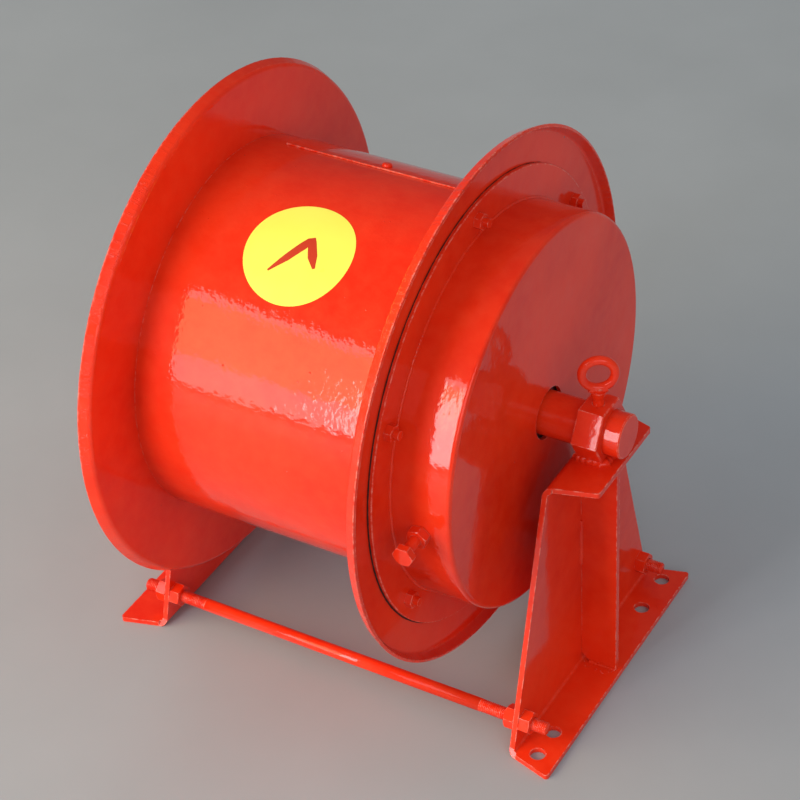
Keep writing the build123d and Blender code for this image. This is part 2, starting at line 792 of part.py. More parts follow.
with BuildPart() as box:
    with BuildSketch(radial_plane(90)):
        with BuildLine():
            Polyline(
                (plate_outer, box_r - box_wall), (box_inner, box_r - box_wall), (box_inner, box_hole_r),
                (box_end, box_hole_r), (box_end, box_r), (plate_outer, box_r), close=True,
            )
        make_face()
        fillet(vertices().sort_by(Axis.X)[-2:].sort_by(Axis.Y)[-1], box_edge_r)
    revolve(axis=shaft_axis)
    with BuildSketch(spoke_plane(anchor_angle, strip_mid, box_r)):
        Circle(anchor_bolt_r + thread_gap)
    extrude(amount=-2 * box_wall, mode=Mode.SUBTRACT)
save(box, "spring_box")

plate_bolts, plate_nuts = [], []
for index in range(plate_bolt_count):
    a = math.radians(plate_bolt_first + index * 360 / plate_bolt_count)
    y, z = plate_bolt_circle_r * math.cos(a), axis_height + plate_bolt_circle_r * math.sin(a)
    inwards = Plane((right_face, y, z), x_dir=(0, 1, 0), z_dir=(-1, 0, 0))
    outwards = Plane((plate_outer, y, z), x_dir=(0, 1, 0), z_dir=(1, 0, 0))
    with BuildPart() as plate_bolt:
        with BuildSketch(inwards):
            Circle(m8_cup_r)
        extrude(amount=m8_cup)
        fillet(faces().sort_by(Axis.X)[0].edges(), m8_cup * pan_round)
        with BuildSketch(inwards):
            Circle(m8_r)
        extrude(amount=-(plate_outer - right_face + m8_nut + plate_bolt_tail))
    plate_bolts.append(plate_bolt)
    turn = index * plate_nut_turn_step
    plate_nuts.append(hexagon(outwards, turn, m8_flats, m8_nut, m8_r + thread_gap))
save(group(plate_bolts), "plate_bolts")
save(group(plate_nuts), "plate_nuts")

# Anchor bolt that holds the spring's outer end, with its nut against the spring box
wall_seat = spoke_plane(anchor_angle, strip_mid, box_r + running_gap)
head_seat = spoke_plane(anchor_angle, strip_mid, box_r + anchor_standout - m10_head)
with BuildPart() as anchor_bolt:
    add(hexagon(head_seat, 0, m10_flats, m10_head).part)
    shank = anchor_standout - m10_head + box_wall + spring_play + anchor_bolt_tail
    add(rod(head_seat, -shank, anchor_bolt_r).part)
save(anchor_bolt, "anchor_bolt")
anchor_nut = hexagon(wall_seat, anchor_nut_turn, m10_flats, m10_nut, anchor_bolt_r + thread_gap)
save(anchor_nut, "anchor_nut")

# Spiral spring: half circles about two centres, so that each turn grows by the same pitch
first_r = arbor_r + spring_lift
hook_r = arbor_r - hook_depth
last_r = box_r - box_wall - spring_play - spring_strip
pitch = (last_r - first_r) / spring_turns
spring_start = anchor_angle + anchor_tail
start = math.radians(spring_start)
with BuildPart() as spring:
    with BuildSketch(cross_plane(strip_start)):
        for half in range(2 * spring_turns):
            radius = first_r + half * pitch / 2
            angle = spring_start + 180 * (half % 2)
            shift = pitch / 2 * (half % 2)
            centre = (shift * math.cos(start), shift * math.sin(start))
            with BuildLine():
                inner = CenterArc(centre, radius, angle, 180)
                outer = CenterArc(centre, radius + spring_strip, angle, 180)
                Line(inner @ 0, outer @ 0)
                Line(inner @ 1, outer @ 1)
            make_face()
        with BuildLine():
            Polyline(*[
                (r * math.cos(start) - off * math.sin(start), r * math.sin(start) + off * math.cos(start))
                for r, off in ((hook_r, 0), (first_r + spring_strip, 0),
                               (first_r + spring_strip, spring_strip), (hook_r, spring_strip))
            ], close=True)
        make_face()
    extrude(amount=spring_width)
    with BuildSketch(spoke_plane(anchor_angle, strip_mid, box_r)):
        Circle(anchor_bolt_r + bolt_gap)
    extrude(amount=-(box_wall + spring_play + 3 * spring_strip), mode=Mode.SUBTRACT)
save(spring, "spiral_spring")

# Arbor: keyed to the shaft, slotted for the hook at the spring's inner end
with BuildPart() as arbor:
    with BuildSketch(cross_plane(arbor_start)):
        Circle(arbor_r)
        Circle(shaft_r + seat_gap, mode=Mode.SUBTRACT)
        with Locations((0, shaft_r)):
            keyway = 2 * (key_height - key_depth + thread_gap)
            Rectangle(key_width + 2 * thread_gap, keyway, mode=Mode.SUBTRACT)
        with Locations(Location((0, 0), spring_start)):
            with Locations((arbor_r, spring_strip / 2)):
                Rectangle(2 * (hook_depth + running_gap), arbor_slot, mode=Mode.SUBTRACT)
    extrude(amount=arbor_end - arbor_start)
save(arbor, "spring_arbor")

with BuildPart() as key:
    with BuildSketch(spoke_plane(90, strip_mid, shaft_r - key_depth)):
        Rectangle(key_length, key_width)
    extrude(amount=key_height)
save(key, "arbor_key")
spacer_x = (right_seat_end + thread_gap, arbor_start - thread_gap)
save(ring(*spacer_x, shaft_r + seat_gap, shaft_r + spacer_wall), "arbor_spacer")

# Slip rings on an insulating sleeve, with an insulating washer beside each
stack_right = ring_stack_left + ring_spacer + ring_count * (slip_ring_width + ring_spacer)
sleeve = turned([
    (ring_stack_left, shaft_r + seat_gap), (stack_right, shaft_r + seat_gap), (stack_right, sleeve_r),
    (ring_stack_left + ring_spacer, sleeve_r), (ring_stack_left + ring_spacer, ring_spacer_r),
    (ring_stack_left, ring_spacer_r),
])
save(sleeve, "slip_ring_sleeve")
washers, ring_mids = [], []
for index in range(ring_count):
    x0 = ring_stack_left + ring_spacer + index * (slip_ring_width + ring_spacer)
    x1 = x0 + slip_ring_width
    ring_mids.append((x0 + x1) / 2)
    save(ring(x0, x1, sleeve_r + seat_gap, slip_ring_r), f"slip_ring_{index + 1}")
    washers.append(ring(x1, x1 + ring_spacer, sleeve_r + seat_gap, ring_spacer_r))
save(group(washers), "ring_washers")
save(ring(stack_right, stack_right + collar_width, shaft_r + seat_gap, collar_r), "stack_collar")

# Brush gear: one post on the left flange, an insulating tube, and a holder, brush and finger per ring
post_end = stack_right + holder_lug_wall
post_foot = Plane((left_face, post_y, axis_height + post_height), x_dir=(0, 1, 0), z_dir=(1, 0, 0))
post_nut_seat = Plane((left_outer, post_y, axis_height + post_height), x_dir=(0, 1, 0), z_dir=(-1, 0, 0))
with BuildPart() as post:
    with BuildSketch(post_foot):
        Circle(post_r)
    extrude(amount=post_end - left_face)
    with BuildSketch(post_foot):
        Circle(m8_r)
    extrude(amount=-(flange_sheet + m8_nut + hub_bolt_tail))
save(post, "brush_post")
save(hexagon(post_nut_seat, post_nut_turn, m8_flats, m8_nut, m8_r + thread_gap), "post_nut")

tube_r = post_r + post_sleeve_wall
with BuildPart() as post_tube:
    with BuildSketch(post_foot.offset(ring_stack_left - left_face)):
        Circle(tube_r)
        Circle(post_r + seat_gap, mode=Mode.SUBTRACT)
    extrude(amount=post_end - ring_stack_left)
save(post_tube, "post_tube")

pocket_width = brush_width + 4 * thread_gap
pocket_depth = brush_depth + 4 * thread_gap
holder_width = pocket_width + 2 * holder_wall
lug_r = tube_r + holder_lug_wall


def brush_holder(x_mid):
    with BuildPart() as holder:
        with BuildSketch(cross_plane(x_mid)):
            with Locations((0, (holder_low + holder_top) / 2)):
                Rectangle(pocket_depth + 2 * holder_wall, holder_height)
            with Locations((post_y / 2, holder_top - lug_r / 2)):
                Rectangle(post_y, lug_r)
            with Locations((post_y, post_height)):
                Circle(lug_r)
                Circle(tube_r + seat_gap, mode=Mode.SUBTRACT)
        extrude(amount=holder_width / 2, both=True)
        with BuildSketch(Plane.XY.offset(axis_height + holder_low)):
            with Locations((x_mid, 0)):
                Rectangle(pocket_width, pocket_depth)
        extrude(amount=holder_height, mode=Mode.SUBTRACT)
    return holder


def brush(x_mid):
    with BuildPart() as block:
        with BuildSketch(cross_plane(x_mid)):
            with Locations((0, slip_ring_r + brush_length / 2)):
                Rectangle(brush_depth, brush_length)
            Circle(slip_ring_r + running_gap, mode=Mode.SUBTRACT)
        extrude(amount=brush_width / 2, both=True)
    return block


def pressure_finger(x_mid):
    brush_top = slip_ring_r + brush_length
    heel = pocket_depth / 2 + 2 * holder_wall
    knee = pocket_depth / 2 - finger_toe
    with BuildPart() as finger:
        with BuildSketch(cross_plane(x_mid)):
            with BuildLine():
                Polyline(
                    (heel, holder_top), (knee, holder_top),
                    (finger_toe, brush_top), (-finger_toe, brush_top),
                    (knee - finger_bend, holder_top + finger_sheet), (heel, holder_top + finger_sheet),
                    close=True,
                )
            make_face()
        extrude(amount=finger_width / 2, both=True)
    return finger


save(group([brush_holder(x) for x in ring_mids]), "brush_holders")
save(group([brush(x) for x in ring_mids]), "brushes")
save(group([pressure_finger(x) for x in ring_mids]), "brush_fingers")
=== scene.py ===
"""Looks of a spring-driven cable reel: a red enamelled drum between two tapered brackets."""
import json
import math
import bpy
from mathutils import Matrix, Vector


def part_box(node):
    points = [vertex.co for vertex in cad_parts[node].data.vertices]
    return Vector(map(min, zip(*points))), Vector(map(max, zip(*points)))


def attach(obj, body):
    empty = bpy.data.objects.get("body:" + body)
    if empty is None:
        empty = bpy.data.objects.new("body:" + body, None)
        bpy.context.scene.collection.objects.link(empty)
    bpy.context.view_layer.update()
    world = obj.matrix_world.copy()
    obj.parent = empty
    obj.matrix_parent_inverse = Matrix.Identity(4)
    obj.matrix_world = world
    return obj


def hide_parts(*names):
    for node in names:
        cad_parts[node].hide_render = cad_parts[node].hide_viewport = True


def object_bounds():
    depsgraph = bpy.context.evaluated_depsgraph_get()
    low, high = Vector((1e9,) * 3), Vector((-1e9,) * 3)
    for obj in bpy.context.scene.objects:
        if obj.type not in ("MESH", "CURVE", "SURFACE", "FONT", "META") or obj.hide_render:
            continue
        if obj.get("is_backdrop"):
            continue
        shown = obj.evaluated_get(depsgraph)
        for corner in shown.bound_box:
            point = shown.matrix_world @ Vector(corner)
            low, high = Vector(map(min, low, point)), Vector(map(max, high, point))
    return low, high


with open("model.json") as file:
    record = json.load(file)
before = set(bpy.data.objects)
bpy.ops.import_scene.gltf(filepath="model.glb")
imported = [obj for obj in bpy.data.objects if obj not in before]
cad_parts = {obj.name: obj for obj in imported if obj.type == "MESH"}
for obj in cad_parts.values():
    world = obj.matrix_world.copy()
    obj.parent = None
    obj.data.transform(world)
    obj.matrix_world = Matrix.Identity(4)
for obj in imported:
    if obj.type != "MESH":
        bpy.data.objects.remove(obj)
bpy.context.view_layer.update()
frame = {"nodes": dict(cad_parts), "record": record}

# The room: the reel stands on a plain pale floor. A wide window with warm curtains lights it from the front left,
# with a bright pane beside it, and a pale wall at the front right fills the shadows.
# The camera looks down on it from the front right, as the photographer did.
photo_width = 800
focal_length_px = 2434.02
optical_centre_px = (389.59, 372.86)
camera_place = Vector((0.91347, -1.45754, 1.55033))
azimuth, elevation, roll = (math.radians(angle) for angle in (32.144, 36.716, -3.603))
floor_size = 12.0
floor_grey = (0.37, 0.38, 0.385)
sky_colour = (0.86, 0.94, 1.0)
sky_strength = 0.62
room_strength = 0.07

scene = bpy.context.scene
scene.view_settings.view_transform = "Standard"
backward = Vector((math.sin(azimuth) * math.cos(elevation), -math.cos(azimuth) * math.cos(elevation),
                   math.sin(elevation)))
level = Vector((math.cos(azimuth), math.sin(azimuth), 0.0))
steep = backward.cross(level)
right = level * math.cos(roll) + steep * math.sin(roll)
up = steep * math.cos(roll) - level * math.sin(roll)
lens = bpy.data.cameras.new("camera")
lens.sensor_width = 36.0
lens.lens = focal_length_px / photo_width * lens.sensor_width
lens.shift_x = 0.5 - optical_centre_px[0] / photo_width
lens.shift_y = optical_centre_px[1] / photo_width - 0.5
camera = bpy.data.objects.new("camera", lens)
camera.matrix_world = Matrix.Translation(camera_place) @ Matrix((right, up, backward)).transposed().to_4x4()
scene.collection.objects.link(camera)
scene.camera = camera

for name, place, target, size, watts, colour in (
    ("window_top", (-1.72, -1.78, 2.36), (0.1, 0.0, 2.36), (2.1, 0.26), 7.0, (1.0, 0.93, 0.92)),
    ("curtains", (-1.72, -1.78, 1.51), (0.1, 0.0, 1.51), (2.1, 1.44), 40.0, (1.0, 0.74, 0.36)),
    ("window_foot", (-1.72, -1.78, 0.45), (0.1, 0.0, 0.45), (2.1, 0.68), 18.0, (1.0, 0.92, 0.90)),
    ("bright_pane", (-0.58, -2.06, 1.10), (0.1, 0.0, 1.0), (0.52, 1.9), 29.0, (0.95, 0.97, 1.0)),
    ("pale_wall", (2.3, -2.4, 1.7), (0.1, 0.0, 0.3), (2.4, 2.0), 24.0, (0.97, 0.98, 1.0)),
):
    lamp = bpy.data.lights.new(name, "AREA")
    lamp.shape = "RECTANGLE"
    lamp.size, lamp.size_y = size
    lamp.energy = watts
    lamp.color = colour
    light = bpy.data.objects.new(name, lamp)
    light.location = place
    light.rotation_mode = "QUATERNION"
    light.rotation_quaternion = (Vector(target) - Vector(place)).to_track_quat("-Z", "Y")
    scene.collection.objects.link(light)


def add_node(tree, kind, inputs=None, **settings):
    """Adds a node. An input is given its value, or is linked to the socket it is given."""
    node = tree.nodes.new(kind)
    for name, value in settings.items():
        setattr(node, name, value)
    for key, value in (inputs or {}).items():
        if isinstance(value, bpy.types.NodeSocket):
            tree.links.new(value, node.inputs[key])
        else:
            node.inputs[key].default_value = value
    return node


# The walls and ceiling are dim, so the gloss of the paint shows them darker than the daylight they spread
world = bpy.data.worlds.new("room")
world.use_nodes = True
scene.world = world
tree = world.node_tree
daylight = tree.nodes["Background"]
daylight.inputs["Color"].default_value = (*sky_colour, 1.0)
daylight.inputs["Strength"].default_value = sky_strength
dim_room = add_node(tree, "ShaderNodeBackground", {"Color": (*sky_colour, 1.0), "Strength": room_strength})
seen_in_gloss = add_node(tree, "ShaderNodeLightPath").outputs["Is Glossy Ray"]
both = add_node(tree, "ShaderNodeMixShader", {0: seen_in_gloss, 1: daylight.outputs[0], 2: dim_room.outputs[0]})
tree.links.new(both.outputs[0], tree.nodes["World Output"].inputs["Surface"])

floor_mesh = bpy.data.meshes.new("floor")
half = floor_size / 2
floor_mesh.from_pydata([(-half, -half, 0), (half, -half, 0), (half, half, 0), (-half, half, 0)], [], [(0, 1, 2, 3)])
floor = bpy.data.objects.new("floor", floor_mesh)
scene.collection.objects.link(floor)
floor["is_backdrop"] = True
floor_paint = bpy.data.materials.new("pale_floor")
floor_paint.use_nodes = True
tree = floor_paint.node_tree
place = add_node(tree, "ShaderNodeTexCoord").outputs["Object"]
cloud = add_node(tree, "ShaderNodeTexNoise", {"Vector": place, "Scale": 2.2, "Detail": 6.0, "Roughness": 0.6})
shade = add_node(tree, "ShaderNodeMapRange", {"Value": cloud.outputs["Fac"], "From Min": 0.3, "From Max": 0.7,
                                              "To Min": 0.94, "To Max": 1.05})
tint = add_node(tree, "ShaderNodeVectorMath", {0: floor_grey, "Scale": shade.outputs[0]}, operation="SCALE")
surface = tree.nodes["Principled BSDF"]
tree.links.new(tint.outputs[0], surface.inputs["Base Color"])
surface.inputs["Roughness"].default_value = 0.62
surface.inputs["Specular IOR Level"].default_value = 0.2
floor_mesh.materials.append(floor_paint)


# The two brackets: 5 mm sheet with tapered uprights, bent out into a foot and a ledge, with a gusset between.
# Like all the steelwork they carry thick gloss red enamel, put on after assembly. It has orange peel,
# dust nibs and sags, a pale pinkish painted highlight along the edges, and is knocked off the rims down to the dark
# primer.
paint_deep = (0.76, 0.018, 0.002, 1.0)
paint_full = (0.90, 0.032, 0.005, 1.0)
paint_thin = (0.92, 0.070, 0.020, 1.0)
# The pale pinkish edge colour below is a painted highlight: it stands for glints on the edges.
painted_edge_glint = (0.95, 0.40, 0.30, 1.0)
primer_dark = (0.040, 0.024, 0.020, 1.0)
primer_pale = (0.20, 0.16, 0.155, 1.0)


def red_enamel(name, peel=1.0, soften=0.0007, edge_width=0.0016, chips=0.0, wrinkles=0.0, gloss=0.05):
    """Enamel as it lies on one group of pieces. Chips and wrinkles are for the rims of the flanges."""
    paint = bpy.data.materials.new(name)
    paint.use_nodes = True
    tree = paint.node_tree
    surface = tree.nodes["Principled BSDF"]
    place = add_node(tree, "ShaderNodeTexCoord").outputs["Object"]

    def noise(scale, detail, roughness=0.5):
        inputs = {"Vector": place, "Scale": scale, "Detail": detail, "Roughness": roughness}
        return add_node(tree, "ShaderNodeTexNoise", inputs).outputs["Fac"]

    def spread(value, low, high, out_low=0.0, out_high=1.0):
        inputs = {"Value": value, "From Min": low, "From Max": high, "To Min": out_low, "To Max": out_high}
        return add_node(tree, "ShaderNodeMapRange", inputs).outputs[0]

    def mix(factor, first, second):
        return add_node(tree, "ShaderNodeMix", {0: factor, 6: first, 7: second}, data_type="RGBA").outputs[2]

    def maths(operation, first, second=0.0):
        return add_node(tree, "ShaderNodeMath", {0: first, 1: second}, operation=operation).outputs[0]

    # Colour: broad clouds where the coat is thin or thick, and a finer mottle
    coat = mix(spread(noise(7.0, 4.0), 0.38, 0.62), paint_deep, paint_full)
    coat = mix(maths("MULTIPLY", spread(noise(70.0, 5.0, 0.65), 0.35, 0.7), 0.3), coat, paint_thin)

    # Edges: where the rounded normal leaves the flat one, a pale pinkish colour is mixed in as a painted highlight for
    # glints on the edges
    rounded = add_node(tree, "ShaderNodeBevel", {"Radius": soften}, samples=4)
    wide = add_node(tree, "ShaderNodeBevel", {"Radius": edge_width}, samples=4)
    flat = add_node(tree, "ShaderNodeNewGeometry").outputs["Normal"]
    lean = add_node(tree, "ShaderNodeVectorMath", {0: wide.outputs[0], 1: flat}, operation="DOT_PRODUCT")
    edge = spread(lean.outputs["Value"], 0.995, 0.90)
    edge_glint = maths("MULTIPLY", edge, maths("MULTIPLY", spread(noise(190.0, 4.0, 0.65), 0.44, 0.62), 0.85))
    # Painted highlight: the edge mask mixes the pale edge colour into the enamel.
    coat = mix(edge_glint, coat, painted_edge_glint)

    # Chips and pits: small islands where the paint has come off down to the primer
    pit = add_node(tree, "ShaderNodeTexVoronoi", {"Vector": place, "Scale": 21.0, "Randomness": 1.0})
    pitted = maths("MULTIPLY", spread(pit.outputs["Distance"], 0.030, 0.022), spread(noise(9.0, 1.0), 0.55, 0.60))
    bare = maths("MULTIPLY", pitted, spread(noise(900.0, 2.0), 0.35, 0.5))
    if chips:
        islands = spread(noise(170.0, 6.0, 0.7), 0.60, 0.63)
        region = spread(noise(14.0, 2.0), 0.62 - 0.10 * chips, 0.66 - 0.10 * chips)
        rim_chips = maths("MULTIPLY", edge, maths("MULTIPLY", islands, region))
        bare = maths("MAXIMUM", bare, rim_chips)
    coat = mix(bare, coat, mix(spread(noise(420.0, 3.0), 0.4, 0.6), primer_dark, primer_pale))
    tree.links.new(coat, surface.inputs["Base Color"])

    # Relief, in tenths of a millimetre: orange peel, a coarser ripple, slow sags, dust that dried in
    relief = maths("MULTIPLY", noise(280.0, 1.5), 0.75 * peel)
    relief = maths("ADD", relief, maths("MULTIPLY", noise(110.0, 1.0), 1.0 * peel))
    relief = maths("ADD", relief, maths("MULTIPLY", noise(26.0, 2.0), 1.6))
    dust = add_node(tree, "ShaderNodeTexVoronoi", {"Vector": place, "Scale": 110.0, "Randomness": 1.0})
    nib = maths("MULTIPLY", spread(dust.outputs["Distance"], 0.10, 0.0), spread(noise(38.0, 1.0), 0.50, 0.58))
    relief = maths("ADD", relief, maths("MULTIPLY", nib, 2.2 * peel))
    relief = maths("SUBTRACT", relief, maths("MULTIPLY", bare, 0.9))
    if wrinkles:
        parts = add_node(tree, "ShaderNodeSeparateXYZ", {0: place})
        height = maths("SUBTRACT", parts.outputs["Z"], 0.276)
        around = maths("ARCTAN2", height, parts.outputs["Y"])
        square = maths("ADD", maths("MULTIPLY", height, height), maths("MULTIPLY", parts.outputs["Y"], parts.outputs["Y"]))
        radius = maths("POWER", square, 0.5)
        strip = add_node(tree, "ShaderNodeCombineXYZ", {"X": maths("MULTIPLY", around, 40.0),
                                                        "Y": maths("MULTIPLY", radius, 60.0)})
        tick = add_node(tree, "ShaderNodeTexNoise", {"Vector": strip.outputs[0], "Scale": 1.7, "Detail": 6.0,
                                                     "Roughness": 0.75}).outputs["Fac"]
        tick = maths("MULTIPLY", spread(tick, 0.50, 0.68), spread(radius, 0.2325, 0.2350))
        tick = maths("MULTIPLY", tick, spread(noise(5.0, 2.0), 0.42, 0.60))
        relief = maths("ADD", relief, maths("MULTIPLY", tick, 4.5 * wrinkles))
    bump = add_node(tree, "ShaderNodeBump", {"Height": relief, "Normal": rounded.outputs[0],
                                             "Strength": 1.0, "Distance": 0.0001})
    tree.links.new(bump.outputs[0], surface.inputs["Normal"])
    tree.links.new(bump.outputs[0], surface.inputs["Coat Normal"])
    dull = maths("ADD", spread(noise(30.0, 4.0), 0.3, 0.7, 0.38, 0.52), maths("MULTIPLY", bare, 0.3))
    tree.links.new(dull, surface.inputs["Roughness"])
    surface.inputs["Specular IOR Level"].default_value = 0.08
    surface.inputs["Coat Weight"].default_value = 0.9
    surface.inputs["Coat Roughness"].default_value = gloss
    surface.inputs["Coat IOR"].default_value = 1.45
    return paint


def finish_with(material, *names):
    """Gives the machined pieces of these names their finish."""
    for name in names:
        for slot in frame["nodes"][name].material_slots:
            slot.material = material


bracket_enamel = red_enamel("bracket_enamel", chips=0.5, soften=0.0009)
finish_with(bracket_enamel, "left_bracket", "right_bracket", "left_gusset", "right_gusset")


def start_tree(name, sizes):
    """A geometry tree with a named input for each size. Returns the tree and its input sockets."""
    tree = bpy.data.node_groups.new(name, "GeometryNodeTree")
    tree.interface.new_socket("Path", in_out="INPUT", socket_type="NodeSocketGeometry")
    for size in sizes:
        tree.interface.new_socket(size, in_out="INPUT", socket_type="NodeSocketFloat")
    tree.interface.new_socket("Material", in_out="INPUT", socket_type="NodeSocketMaterial")
    tree.interface.new_socket("Mesh", in_out="OUTPUT", socket_type="NodeSocketGeometry")
    return tree, tree.nodes.new("NodeGroupInput").outputs


def end_tree(tree, geometry, material):
    """Makes the result one smooth mesh of one material."""
    real = add_node(tree, "GeometryNodeRealizeInstances", {"Geometry": geometry})
    smooth = add_node(tree, "GeometryNodeSetShadeSmooth", {"Geometry": real.outputs[0], "Shade Smooth": True})
    painted = add_node(tree, "GeometryNodeSetMaterial", {"Geometry": smooth.outputs[0], "Material": material})
    add_node(tree, "NodeGroupOutput", {0: painted.outputs[0]})


def calculate(tree, operation, first, second=0.0):
    """One sum in a geometry tree."""
    return add_node(tree, "ShaderNodeMath", {0: first, 1: second}, operation=operation).outputs[0]


def build_piece(tree, name, body, path, material, slot="red_enamel", **sizes):
    """Runs a tree on a path or patch and keeps the plain mesh, which rides on a body."""
    piece = bpy.data.objects.new(name, path)
    scene.collection.objects.link(piece)
    modifier = piece.modifiers.new("build", "NODES")
    modifier.node_group = tree
    values = {key.replace("_", " ").capitalize(): value for key, value in sizes.items()}
    values["Material"] = material
    for socket in tree.interface.items_tree:
        if socket.in_out == "INPUT" and socket.name in values:
            modifier[socket.identifier] = values.pop(socket.name)
    assert not values, values
    bpy.context.view_layer.update()
    finished = bpy.data.meshes.new_from_object(piece.evaluated_get(bpy.context.evaluated_depsgraph_get()))
    piece.modifiers.clear()
    piece.data = finished
    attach(piece, body)
    return piece


def mesh_of(name, points, edges=(), faces=()):
    mesh = bpy.data.meshes.new(name)
    mesh.from_pydata([tuple(point) for point in points], list(edges), list(faces))
    return mesh


def open_path(name, *runs):
    """A mesh of separate runs of points, in metres, that a bead follows."""
    points, edges = [], []
    for run in runs:
        edges += [(len(points) + i, len(points) + i + 1) for i in range(len(run) - 1)]
        points += run
    return mesh_of(name, points, edges)


def ring_path(name, x, radius, steps=180):
    """A circle about the shaft, in metres."""
    turns = [math.tau * i / steps for i in range(steps)]
    points = [(x, radius * math.cos(turn), 0.276 + radius * math.sin(turn)) for turn in turns]
    return mesh_of(name, points, [(i, (i + 1) % steps) for i in range(steps)])


# Welds: arc-welded beads, rippled and lumpy, painted over with the same enamel.
# They hold the gussets, the shaft blocks, the eye rings and the spring box.
bead_tree, given = start_tree("weld_bead", ["Bead radius", "Ripple pitch", "Ripple", "Taper", "Lumps", "Lump size", "Seed"])
curve = add_node(bead_tree, "GeometryNodeMeshToCurve", {"Mesh": given["Path"]})
curve = add_node(bead_tree, "GeometryNodeResampleCurve", {"Curve": curve.outputs[0], "Length": 0.0009}, mode="LENGTH")
along = add_node(bead_tree, "GeometryNodeSplineParameter").outputs["Length"]
wave = calculate(bead_tree, "SINE", calculate(bead_tree, "MULTIPLY", math.tau,
                                              calculate(bead_tree, "DIVIDE", along, given["Ripple pitch"])))
width = calculate(bead_tree, "ADD", 1.0, calculate(bead_tree, "MULTIPLY", wave, given["Ripple"]))
share = add_node(bead_tree, "GeometryNodeSplineParameter").outputs["Factor"]
width = calculate(bead_tree, "SUBTRACT", width, calculate(bead_tree, "MULTIPLY", share, given["Taper"]))
round_bar = add_node(bead_tree, "GeometryNodeCurvePrimitiveCircle", {"Resolution": 12, "Radius": given["Bead radius"]})
bead = add_node(bead_tree, "GeometryNodeCurveToMesh", {"Curve": curve.outputs[0], "Profile Curve": round_bar.outputs[0],
                                                       "Fill Caps": True, "Scale": width})
spot = add_node(bead_tree, "GeometryNodeInputPosition").outputs[0]
moved = add_node(bead_tree, "ShaderNodeVectorMath", {0: spot, 1: given["Seed"]}, operation="ADD")
fine = calculate(bead_tree, "DIVIDE", 1.0, given["Lump size"])
lump = add_node(bead_tree, "ShaderNodeTexNoise", {"Vector": moved.outputs[0], "Scale": fine, "Detail": 2.0})
normal = add_node(bead_tree, "GeometryNodeInputNormal").outputs[0]
swell = calculate(bead_tree, "MULTIPLY", calculate(bead_tree, "SUBTRACT", lump.outputs["Fac"], 0.5), given["Lumps"])
push = add_node(bead_tree, "ShaderNodeVectorMath", {0: normal, "Scale": swell}, operation="SCALE")
bead = add_node(bead_tree, "GeometryNodeSetPosition", {"Geometry": bead.outputs[0], "Offset": push.outputs[0]})
end_tree(bead_tree, bead.outputs[0], given["Material"])

spatter_tree, given = start_tree("weld_spatter", ["Density", "Drop radius", "Seed"])
points = add_node(spatter_tree, "GeometryNodeDistributePointsOnFaces",
                  {"Mesh": given["Path"], "Density": given["Density"], "Seed": given["Seed"]})
drop = add_node(spatter_tree, "GeometryNodeMeshIcoSphere", {"Radius": given["Drop radius"], "Subdivisions": 2})
grade = add_node(spatter_tree, "FunctionNodeRandomValue", {2: 0.25, 3: 1.0, "Seed": 3}, data_type="FLOAT")
drops = add_node(spatter_tree, "GeometryNodeInstanceOnPoints",
                 {"Points": points.outputs["Points"], "Instance": drop.outputs[0], "Scale": grade.outputs[1]})
end_tree(spatter_tree, drops.outputs[0], given["Material"])

weld_enamel = red_enamel("weld_enamel", peel=1.2, soften=0.0002, edge_width=0.0006, gloss=0.03)
for side, sign in (("left", -1), ("right", 1)):
    outer, foot_top, ledge_under = sign * 0.1865, 0.005, 0.245
    rib_out = sign * 0.2205
    rib_edge = 0.0027
    seams = [
        [(outer, -rib_edge, 0.238), (outer, -rib_edge, 0.205)],
        [(outer, -rib_edge, 0.170), (outer, -rib_edge, 0.120)],
        [(outer, rib_edge, 0.238), (outer, rib_edge, 0.190)],
        [(outer, rib_edge, 0.110), (outer, rib_edge, 0.060)],
        [(outer + sign * 0.008, -rib_edge, foot_top), (rib_out, -rib_edge, foot_top)],
        [(outer + sign * 0.008, rib_edge, foot_top), (rib_out, rib_edge, foot_top)],
        [(outer + sign * 0.010, -rib_edge, ledge_under), (rib_out, -rib_edge, ledge_under)],
        [(outer + sign * 0.010, rib_edge, ledge_under), (rib_out, rib_edge, ledge_under)],
    ]
    build_piece(bead_tree, f"{side}_gusset_welds", "frame", open_path("seams", *seams), weld_enamel,
                bead_radius=0.0020, ripple_pitch=0.0030, ripple=0.15, lumps=0.0028, lump_size=0.0022, seed=sign * 1.7)
    near, far = sorted((sign * 0.1895, sign * 0.2145))
    loop = [(near, -0.015), (far, -0.015), (far, 0.015), (near, 0.015), (near, -0.015)]
    build_piece(bead_tree, f"{side}_block_weld", "frame", open_path("seam", [(x, y, 0.2510) for x, y in loop]),
                weld_enamel, bead_radius=0.0042, ripple_pitch=0.0052, ripple=0.15, lumps=0.0048, lump_size=0.0042,
                seed=sign * 3.1)
    patch = mesh_of("patch", [(x, y, foot_top) for x, y in ((outer, -0.012), (rib_out, -0.012), (rib_out, -0.003),
                                                             (outer, -0.003))], (), [(0, 1, 2, 3)])
    build_piece(spatter_tree, f"{side}_foot_spatter", "frame", patch, weld_enamel, density=60000.0,
                drop_radius=0.0010, seed=4)

